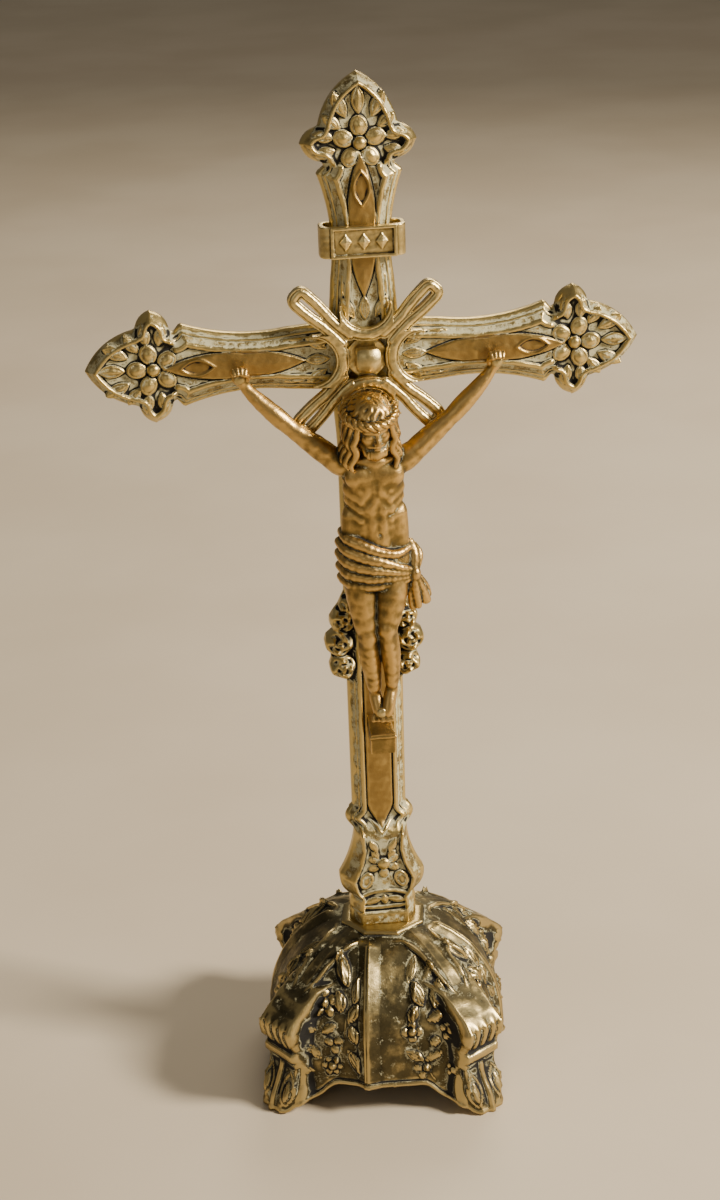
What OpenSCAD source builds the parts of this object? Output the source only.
// Standing altar cross: a cast cross with a figure, turned on a stud in a hollow four-footed base.
// Millimetres. +Z is up, the front faces -Y, and the origin is on the table under the cross.

/* [Cross] */
// Height of the crossing above the table
crossing_z = 208.5; // [206:0.5:212]
// Length of the top and side arms from the crossing to the tip
arm_len = 71.5; // [70:0.5:74]
// Half width of the arms where they meet
arm_half_w = 9; // [8.5:0.1:9.5]
// Thickness of the cross casting
cross_t = 5; // [4.6:0.1:5.4]
// Half width of the bulge low on the shaft
vase_half_w = 11.8; // [11:0.1:12.5]
// Depth of the bulge from front to back
vase_depth = 12; // [11:0.5:13]

/* [Base] */
// Height of the base, where the cross stands on it
base_h = 45; // [44:0.5:46]
// Height of the hem between the feet
hem_z = 8.5; // [7.5:0.5:9.5]
// Radius of the dome's ridges at the hem
dome_r = 32.7; // [32:0.1:33.5]
// Reach of each foot from the middle
foot_r = 43.5; // [42.5:0.5:44.5]
// Half width of the square that the feet stand in
foot_half = 33.2; // [32.8:0.1:33.6]
// Width of each leg
leg_w = 12; // [11:0.5:13]
// Wall of the hollow base
wall = 2.4; // [2:0.1:2.8]
// How far the base has turned under the cross
base_turn = -11; // [-20:1:20]

/* [Fastenings] */
// Diameter of the mounting stud
stud_d = 5; // [4.6:0.1:5.4]
// Radial clearance between the stud and the base
stud_gap = 0.05; // [0.03:0.01:0.08]
// Width across the flats of the nut
nut_flats = 8; // [7.5:0.5:9]
// Diameter of the pins that hold the figure
pin_d = 1.4; // [1.2:0.1:1.6]

/* [Figure] */
// Distance of each hand from the middle
hand_x = 33; // [32:0.5:34]
// Height of the hands
hand_z = 206; // [205:0.5:206.5]
// Height of the foot pin
foot_pin_z = 113; // [112:0.5:114]
// Height of the tenon that holds the footrest
footrest_z = 106; // [105:0.5:107]

/* [Hidden] */

front_y = -cross_t / 2;
back_y = cross_t / 2;
shaft_len = crossing_z - base_h;
strap_t = 2.2;
strap_y = front_y - strap_t;
rivet_half = 3.2;
washer_t = 1;
nut_t = 4;
top_wall = 4;
hollow_top = base_h - top_wall;
sleeve_r = stud_d / 2 + stud_gap;
brass = "#9a7b3f";
dark_brass = "#5d4f33";
bright_brass = "#b8964f";

// Points of a parabola from a to b that swells by h to the left of the way from a to b.
function bow(a, b, h, n = 8) =
    let (d = b - a, side = [-d[1], d[0]] / norm(d))
    [for (i = [0:n]) let (t = i / n) a + d * t + side * h * 4 * t * (1 - t)];

function reverse(p) = [for (i = [len(p) - 1:-1:0]) p[i]];

// One side of an arm with its finial, as distance from the crossing against half width.
arm_raw = concat(
    bow([20, 8.2], [arm_len - 25.5, 10.4], -1.6, 8),
    [[arm_len - 24.6, 10.8], [arm_len - 22.6, 8.9]],
    bow([arm_len - 21.8, 9.2], [arm_len - 17.2, 14.6], 0.9, 6),
    bow([arm_len - 16.6, 14.6], [arm_len - 12.9, 10], 0.8, 5),
    bow([arm_len - 12.3, 9.8], [arm_len, 0], 1.7, 8));

// One side of the shaft, as distance below the crossing against half width.
shaft_raw = concat(
    [[20, 8.2], [45, 7.7]],
    bow([67, 7.7], [92, 7.7], 5.6, 10),
    bow([128.5, 7.5], [135.5, 7.4], 2.1, 6),
    bow([137, 7.4], [149, vase_half_w], -0.6, 5),
    bow([150.5, vase_half_w], [156, 8.6], 0.7, 4),
    [[157, 9.2], [shaft_len, 9.2]]);

// Inset by k, which grows towards the slanting edges at the tip.
function tip_inset(r, k) = k * (1 + max(0, r - arm_len + 16.5) / 25);

function arm_side(k) = concat(
    [[arm_half_w - k, arm_half_w - k]],
    [for (p = arm_raw) if (p[1] > tip_inset(p[0], k) + 0.4) [p[0], p[1] - tip_inset(p[0], k)]],
    [[arm_len - 0.9 * k, 0]]);

function shaft_side(k) = [for (p = shaft_raw) [p[1] - k, -p[0]]];

function right_half(k) = concat(
    reverse([for (p = arm_side(k)) [p[1], p[0]]]),
    [for (i = [1:len(arm_side(k)) - 1]) arm_side(k)[i]],
    reverse([for (i = [0:len(arm_side(k)) - 2]) [arm_side(k)[i][0], -arm_side(k)[i][1]]]),
    shaft_side(k));

// Front outline of the cross, drawn in by k all round.
function cross_outline(k) = let (half = right_half(k))
    concat(half, reverse([for (i = [1:len(half) - 1]) [-half[i][0], half[i][1]]]));

vase_right = [for (p = shaft_side(0)) if (p[1] < -131) p];
vase_outline = concat(vase_right, reverse([for (p = vase_right) [-p[0], p[1]]]));

// Puts a flat outline in the plane of the cross, from y0 forwards by t.
module slab(y0, t) {
    translate([0, y0, crossing_z]) rotate([90, 0, 0]) linear_extrude(t) children();
}

// A pointed leaf outline of length l and width w, starting at the origin along +X.
module leaf_2d(l, w) {
    r = (l * l / 4 + w * w / 4) / w;
    intersection() {
        translate([l / 2, r - w / 2]) circle(r, $fn = 96);
        translate([l / 2, w / 2 - r]) circle(r, $fn = 96);
    }
}

// The long sunk panel of an arm, with a point at each end.
module arm_panel_2d(start, end, w) {
    polygon(concat(
        bow([start, 0], [start + 9, w], 0.7, 4),
        bow([end - 9, w], [end, 0], 0.7, 4),
        bow([end - 0.1, 0], [end - 9, -w], 0.7, 4),
        bow([start + 9, -w], [start + 0.1, 0], 0.7, 4)));
}

// Sunk field of a finial, measured from the crossing.
module finial_field_2d() {
    polygon(concat(
        bow([arm_len - 19.5, 9], [arm_len - 3.4, 0], 3.2, 8),
        bow([arm_len - 3.5, 0], [arm_len - 19.5, -9], 3.2, 8)));
    translate([arm_len - 16.5, 0]) square([5.4, 23.6], center = true);
}

// Flower of a finial: a ring of petals and an outer ring of leaves round a boss.
module finial_flower() {
    centre = arm_len - 17;
    for (a = [30:60:330])
        slab(front_y + 1, 1.5) translate([centre, 0]) rotate(a) translate([1.2, 0]) leaf_2d(5.2, 2.9);
    for (a = [0, 38, -38, 90, -90])
        slab(front_y + 1, 1.1) translate([centre, 0]) rotate(a) translate([6, 0]) leaf_2d(5.4, 2.5);
    translate([centre, front_y + 0.4, crossing_z]) sphere(1.9, $fn = 40);
}

// Everything that an arm carries in front: the turns put it on the top arm and both side arms.
module on_each_arm() {
    for (a = [0, 90, 180])
        translate([0, 0, crossing_z]) rotate([0, -a, 0]) translate([0, 0, -crossing_z]) children();
}

// Thick bulge and foot block at the low end of the shaft.
module vase_body() {
    half = vase_depth / 2;
    side_right = concat(
        [[back_y - 0.2, -131]],
        bow([back_y, -134], [half, -149], -0.5, 5),
        bow([half, -149.5], [half - 1.4, -156.5], 0.4, 4),
        [[half - 0.4, -157], [half - 0.4, -shaft_len]]);
    side_outline = concat(side_right, reverse([for (p = side_right) [-p[0], p[1]]]));
    intersection() {
        slab(half, vase_depth) polygon(vase_outline);
        translate([-20, 0, crossing_z]) rotate([90, 0, 90]) linear_extrude(40) polygon(side_outline);
    }
}

// Ridge radius of the dome at height z: a flattened ellipse that closes just above the top
// plate, and below the hem a slight flare towards the feet.
function ridge(z) = z < hem_z ? dome_r + 0.06 * (hem_z - z)
    : dome_r * sqrt(1 - pow((z - hem_z) / (base_h - hem_z + 1), 2.6));

// One side of the dome's profile up to top_z, thinned by t, as radius against height.
function dome_side(top_z, t, factor) = concat(
    [[factor * (ridge(0) - t), t > 0 ? -1 : 0]],
    [for (i = [0:14]) let (z = hem_z + (top_z - hem_z) * sin(90 * i / 14))
        [factor * (ridge(z) - t * (1 + (z - hem_z) / 60)), z]]);

// Vault over a square plan: each side breaks at a middle ridge, and the corners are cut off.
module vault(top_z, t) {
    side_break = 8;
    corner_reach = 1.19;
    faces = [[side_break, cos(side_break)], [-side_break, cos(side_break)],
        [90 + side_break, cos(side_break)], [90 - side_break, cos(side_break)],
        [45, corner_reach], [135, corner_reach]];
    intersection_for (f = faces) {
        rotate(f[0]) translate([0, 60, 0]) rotate([90, 0, 0]) linear_extrude(120) polygon(concat(
            dome_side(top_z, t, f[1]), reverse([for (p = dome_side(top_z, t, f[1])) [-p[0], p[1]]])));
    }
}

// Bracket leg at a corner: knee, collar and a spreading foot.
module leg() {
    side = concat(
        [[22, 37], [30, 33.5]],
        bow([33.5, 32], [41.2, 25.5], 1.2, 4),
        bow([41.5, 24.5], [39.4, 18.8], 0.5, 4),
        [[40.2, 17.8], [40.2, 16], [39.2, 15.2]],
        bow([39, 14.6], [foot_r, 2], -0.9, 6),
        [[foot_r, 0.6], [foot_r - 0.8, 0], [30, 0], [24, 20]]);
    intersection() {
        translate([0, leg_w / 2, 0]) rotate([90, 0, 0]) linear_extrude(leg_w) polygon(side);
        rotate(45) translate([-foot_half, -foot_half, 0]) cube([2 * foot_half, 2 * foot_half, 40]);
    }
}

// Opening between two feet: a flat hem that curves down into each foot.
module foot_gap() {
    right = concat(
        bow([12.5, hem_z], [18.5, 4.4], 0.7, 5),
        bow([19, 4.1], [24.5, 1], -0.7, 5),
        [[25, -1]]);
    translate([0, 60, 0]) rotate([90, 0, 0]) linear_extrude(120)
        polygon(concat(right, reverse([for (p = right) [-p[0], p[1]]])));
}

module base_dome() {
    color(dark_brass) rotate(base_turn) difference() {
        union() {
            vault(base_h, 0);
            for (a = [45:90:315]) rotate(a) leg();
            translate([0, 0, base_h - 5]) cylinder(h = 5, r = 11.5, $fn = 8);
        }
        vault(hollow_top, wall);
        for (a = [0, 90]) rotate(a) foot_gap();
        cylinder(h = base_h + 1, r = sleeve_r, $fn = 64);
    }
}

module cross_casting() {
    steps = [[0, back_y, 3], [1.3, back_y - 3, 1], [2.5, back_y - 4, cross_t - 4]];
    color(brass) difference() {
        union() {
            difference() {
                union() {
                    for (s = steps) slab(s[1], s[2]) polygon(cross_outline(s[0]));
                }
                on_each_arm() {
                    slab(front_y + 0.8, 2) arm_panel_2d(15.5, arm_len - 20.5, 3.7);
                    slab(front_y + 1, 2) finial_field_2d();
                }
                slab(front_y + 0.8, 2) rotate(-90) arm_panel_2d(15.5, 134.5, 3.9);
            }
            on_each_arm() finial_flower();
            on_each_arm() slab(front_y + 1, 1) difference() {
                translate([arm_len - 32.5, 0]) leaf_2d(9, 4.2);
                translate([arm_len - 31, 0]) leaf_2d(6, 2.2);
            }
            for (a = [0:90:270], b = [-32, 0, 32])
                slab(front_y + 0.5, 1) rotate(a) translate([8, 0]) rotate(b) leaf_2d(7, 2.6);
            for (s = [-1, 1], dz = [-7:7:7])
                translate([s * (10.8 - abs(dz) / 6), front_y + 0.6, crossing_z - 79 + dz])
                    sphere(3, $fn = 40);
            vase_body();
            translate([0, -vase_depth / 2 - 0.1, crossing_z - 147]) sphere(1.8, $fn = 40);
            for (a = [18:72:306])
                slab(-vase_depth / 2 + 1, 1.6) translate([0, -147]) rotate(a)
                    translate([1, 0]) leaf_2d(4.8, 2.6);
        }
        translate([0, 0, base_h - 1]) cylinder(h = 13, r = stud_d / 2, $fn = 64);
        for (x = [-hand_x, hand_x])
            translate([x, 10, hand_z]) rotate([90, 0, 0]) cylinder(h = 20, d = pin_d, $fn = 32);
        translate([0, 10, foot_pin_z]) rotate([90, 0, 0]) cylinder(h = 20, d = pin_d, $fn = 32);
        translate([0, 10, crossing_z]) rotate([90, 0, 0]) cylinder(h = 20, d = 3, $fn = 48);
        translate([0, 10, footrest_z]) rotate([90, 0, 0]) cylinder(h = 20, d = 2.4, $fn = 48);
    }
}

module crossing_strapwork() {
    loop_angle = 44.5;
    loop_in = 8;
    loop_out = 23.6;
    loop_r = 2.8;
    arc_centre = 14.2;
    arc_r = 9;
    band = 2.3;
    color(bright_brass) slab(front_y, strap_t) difference() {
        union() {
            for (sx = [0, 1], sz = [0, 1]) mirror([sx, 0]) mirror([0, sz]) rotate(loop_angle) {
                translate([loop_in, -loop_r]) square([loop_out - loop_in, 2 * loop_r]);
                translate([loop_out, 0]) circle(loop_r, $fn = 48);
            }
            for (a = [0:90:270]) rotate(a) intersection() {
                translate([arc_centre, 0]) difference() {
                    circle(arc_r, $fn = 96);
                    circle(arc_r - band, $fn = 96);
                }
                translate([3, -7.4]) square([10, 14.8]);
            }
            circle(7.4, $fn = 64);
        }
        for (sx = [0, 1], sz = [0, 1]) mirror([sx, 0]) mirror([0, sz]) rotate(loop_angle)
            translate([13.5, 0]) leaf_2d(9.6, 1.9);
        circle(1.5, $fn = 48);
    }
}

module crossing_rivet() {
    color(bright_brass) {
        translate([-rivet_half, strap_y - 1.6, crossing_z - rivet_half])
            cube([2 * rivet_half, 1.6, 2 * rivet_half]);
        intersection() {
            translate([0, strap_y + 4.2, crossing_z]) sphere(7.2, $fn = 64);
            translate([-rivet_half, strap_y - 3.2, crossing_z - rivet_half])
                cube([2 * rivet_half, 2, 2 * rivet_half]);
        }
        translate([0, back_y + 0.1, crossing_z]) rotate([90, 0, 0])
            cylinder(h = back_y - strap_y + 0.2, d = 3, $fn = 48);
        translate([0, back_y + 0.8, crossing_z]) rotate([90, 0, 0])
            cylinder(h = 0.8, d = 4.6, $fn = 48);
    }
}

// Plan of the band: a rectangle with round corners.
module round_plan(half_x, y_front, y_back, r) {
    translate([-half_x + r, y_front]) square([2 * (half_x - r), y_back - y_front]);
    translate([-half_x, y_front + r]) square([2 * half_x, y_back - y_front - 2 * r]);
    for (x = [-half_x + r, half_x - r], y = [y_front + r, y_back - r])
        translate([x, y]) circle(r, $fn = 48);
}

module titulus_band() {
    band_z = 234.6;
    band_h = 8;
    plate_half = 8;
    edge = 0.9;
    color(bright_brass) {
        translate([0, 0, band_z]) linear_extrude(band_h) difference() {
            round_plan(10.9, front_y - 1.6, back_y + 1.2, 3.2);
            round_plan(9.6, front_y, back_y, 2);
        }
        translate([0, front_y - 1.5, band_z]) rotate([90, 0, 0]) linear_extrude(0.7) difference() {
            translate([-plate_half, 0]) square([2 * plate_half, band_h]);
            translate([edge - plate_half, edge]) square([2 * (plate_half - edge), band_h - 2 * edge]);
        }
    }
}

// A tapering limb between two balls.
module limb(a, ra, b, rb) {
    hull() {
        translate(a) sphere(ra, $fn = 18);
        translate(b) sphere(rb, $fn = 18);
    }
}

// Head of plain school proportions: a ball for the skull, and a jaw half its size below and ahead
// of it, bowed and leaned as one.
module head() {
    skull_r = 6.2;
    translate([-0.6, -11.8, 192.5]) rotate([18, 6, 0]) hull() {
        sphere(skull_r, $fn = 24);
        translate([0, -0.42 * skull_r, -0.71 * skull_r]) sphere(skull_r / 2, $fn = 18);
    }
}

module corpus() {
    chest_z = 176;
    color(brass) difference() {
        union() {
            for (s = [-1, 1]) {
                limb([s * 8, -8, 181.5], 3.1, [s * 21.5, -7.2, 193], 2.2);
                limb([s * 21.5, -7.2, 193], 2.2, [s * 30.4, -5.4, 202], 1.6);
                limb([s * 30.4, -5.4, 202], 1.6, [s * (hand_x + 0.4), -4.7, hand_z + 1.6], 1.8);
            }
            for (p = [[-4.2, -2.9, -10.6, 134.5, -1.2, -0.6], [4.2, 1.9, -12.2, 137, 3.4, 1.7]]) {
                limb([p[0], -8, 155], 4.6, [p[1], p[2], p[3]], 3.3);
                limb([p[1], p[2], p[3]], 3.3, [p[4], -8.6, 118], 2.2);
                limb([p[4], -8.6, 118], 2.2, [p[5], -11.4, 111.7], 1.9);
            }
            hull() for (s = [-1, 1]) {
                translate([s * 5.6, -7.4, chest_z + 4]) sphere(3.8, $fn = 18);
                translate([s * 4.6, -8, chest_z - 5]) sphere(4.2, $fn = 18);
            }
            hull() for (s = [-1, 1]) {
                translate([s * 4.6, -8, chest_z - 5]) sphere(4, $fn = 18);
                translate([s * 3.6, -7.6, 158]) sphere(4.4, $fn = 18);
            }
            hull() for (s = [-1, 1]) {
                translate([s * 4.2, -7.9, 157.5]) sphere(4.9, $fn = 18);
                translate([s * 4.6, -8.3, 152.5]) sphere(5.1, $fn = 18);
            }
            limb([9.2, -9.6, 153], 2.4, [12, -8.8, 142.6], 1.7);
            limb([0, -9.4, 182], 2.9, [-0.4, -11.4, 189], 3);
            head();
            limb([4.4, -11, 188], 2.4, [5.4, -9.8, 178.4], 1.6);
            translate([-0.8, -12, 194.5]) rotate([18, 6, 0]) rotate_extrude($fn = 32)
                translate([6.2, 0]) circle(1, $fn = 8);
        }
        for (x = [-hand_x, hand_x])
            translate([x, 0, hand_z]) rotate([90, 0, 0]) cylinder(h = 20, d = pin_d, $fn = 16);
        translate([0, 0, foot_pin_z]) rotate([90, 0, 0]) cylinder(h = 20, d = pin_d, $fn = 16);
    }
}

module footrest_bracket() {
    side = [[front_y, 5.2], [-12.4, 3.4], [-12.8, -3.6], [-9.6, -4.6], [front_y, -3.6]];
    color(dark_brass) translate([0, 0, footrest_z]) {
        translate([-3.4, 0, 0]) rotate([90, 0, 90]) linear_extrude(6.8) polygon(side);
        translate([0, back_y + 0.4, 0]) rotate([90, 0, 0]) cylinder(h = cross_t + 0.5, d = 2.4, $fn = 48);
    }
}

// Pin with a domed head at y_head and a flattened tail behind the cross.
module figure_pin(x, z, y_head) {
    head_r = 1.5;
    tail_r = 1.2;
    tail = back_y + 0.5;
    length = tail - y_head;
    color(bright_brass) translate([x, tail, z]) rotate([90, 0, 0]) rotate_extrude($fn = 40)
        polygon(concat([[0, 0], [tail_r, 0], [tail_r, 0.5], [pin_d / 2, 0.5], [pin_d / 2, length]],
            [for (a = [0:15:90]) [head_r * cos(a), length + 0.9 * sin(a)]]));
}

module left_hand_pin() {
    figure_pin(-hand_x, hand_z, -6.5);
}

module right_hand_pin() {
    figure_pin(hand_x, hand_z, -6.5);
}

module foot_pin() {
    figure_pin(0, foot_pin_z, -12.6);
}

module mounting_stud() {
    color("#8f8a80") translate([0, 0, hollow_top - washer_t - nut_t - 2])
        cylinder(h = base_h + 11 - hollow_top + washer_t + nut_t + 2, d = stud_d, $fn = 64);
}

module washer() {
    color("#8f8a80") translate([0, 0, hollow_top - washer_t]) difference() {
        cylinder(h = washer_t, d = 11, $fn = 64);
        translate([0, 0, -1]) cylinder(h = washer_t + 2, d = stud_d + 0.4, $fn = 64);
    }
}

module hex_nut() {
    color("#8f8a80") translate([0, 0, hollow_top - washer_t - nut_t]) difference() {
        cylinder(h = nut_t, d = nut_flats / cos(30), $fn = 6);
        translate([0, 0, -1]) cylinder(h = nut_t + 2, d = stud_d, $fn = 64);
    }
}

base_dome();
cross_casting();
crossing_strapwork();
crossing_rivet();
titulus_band();
corpus();
footrest_bracket();
left_hand_pin();
right_hand_pin();
foot_pin();
mounting_stud();
washer();
hex_nut();
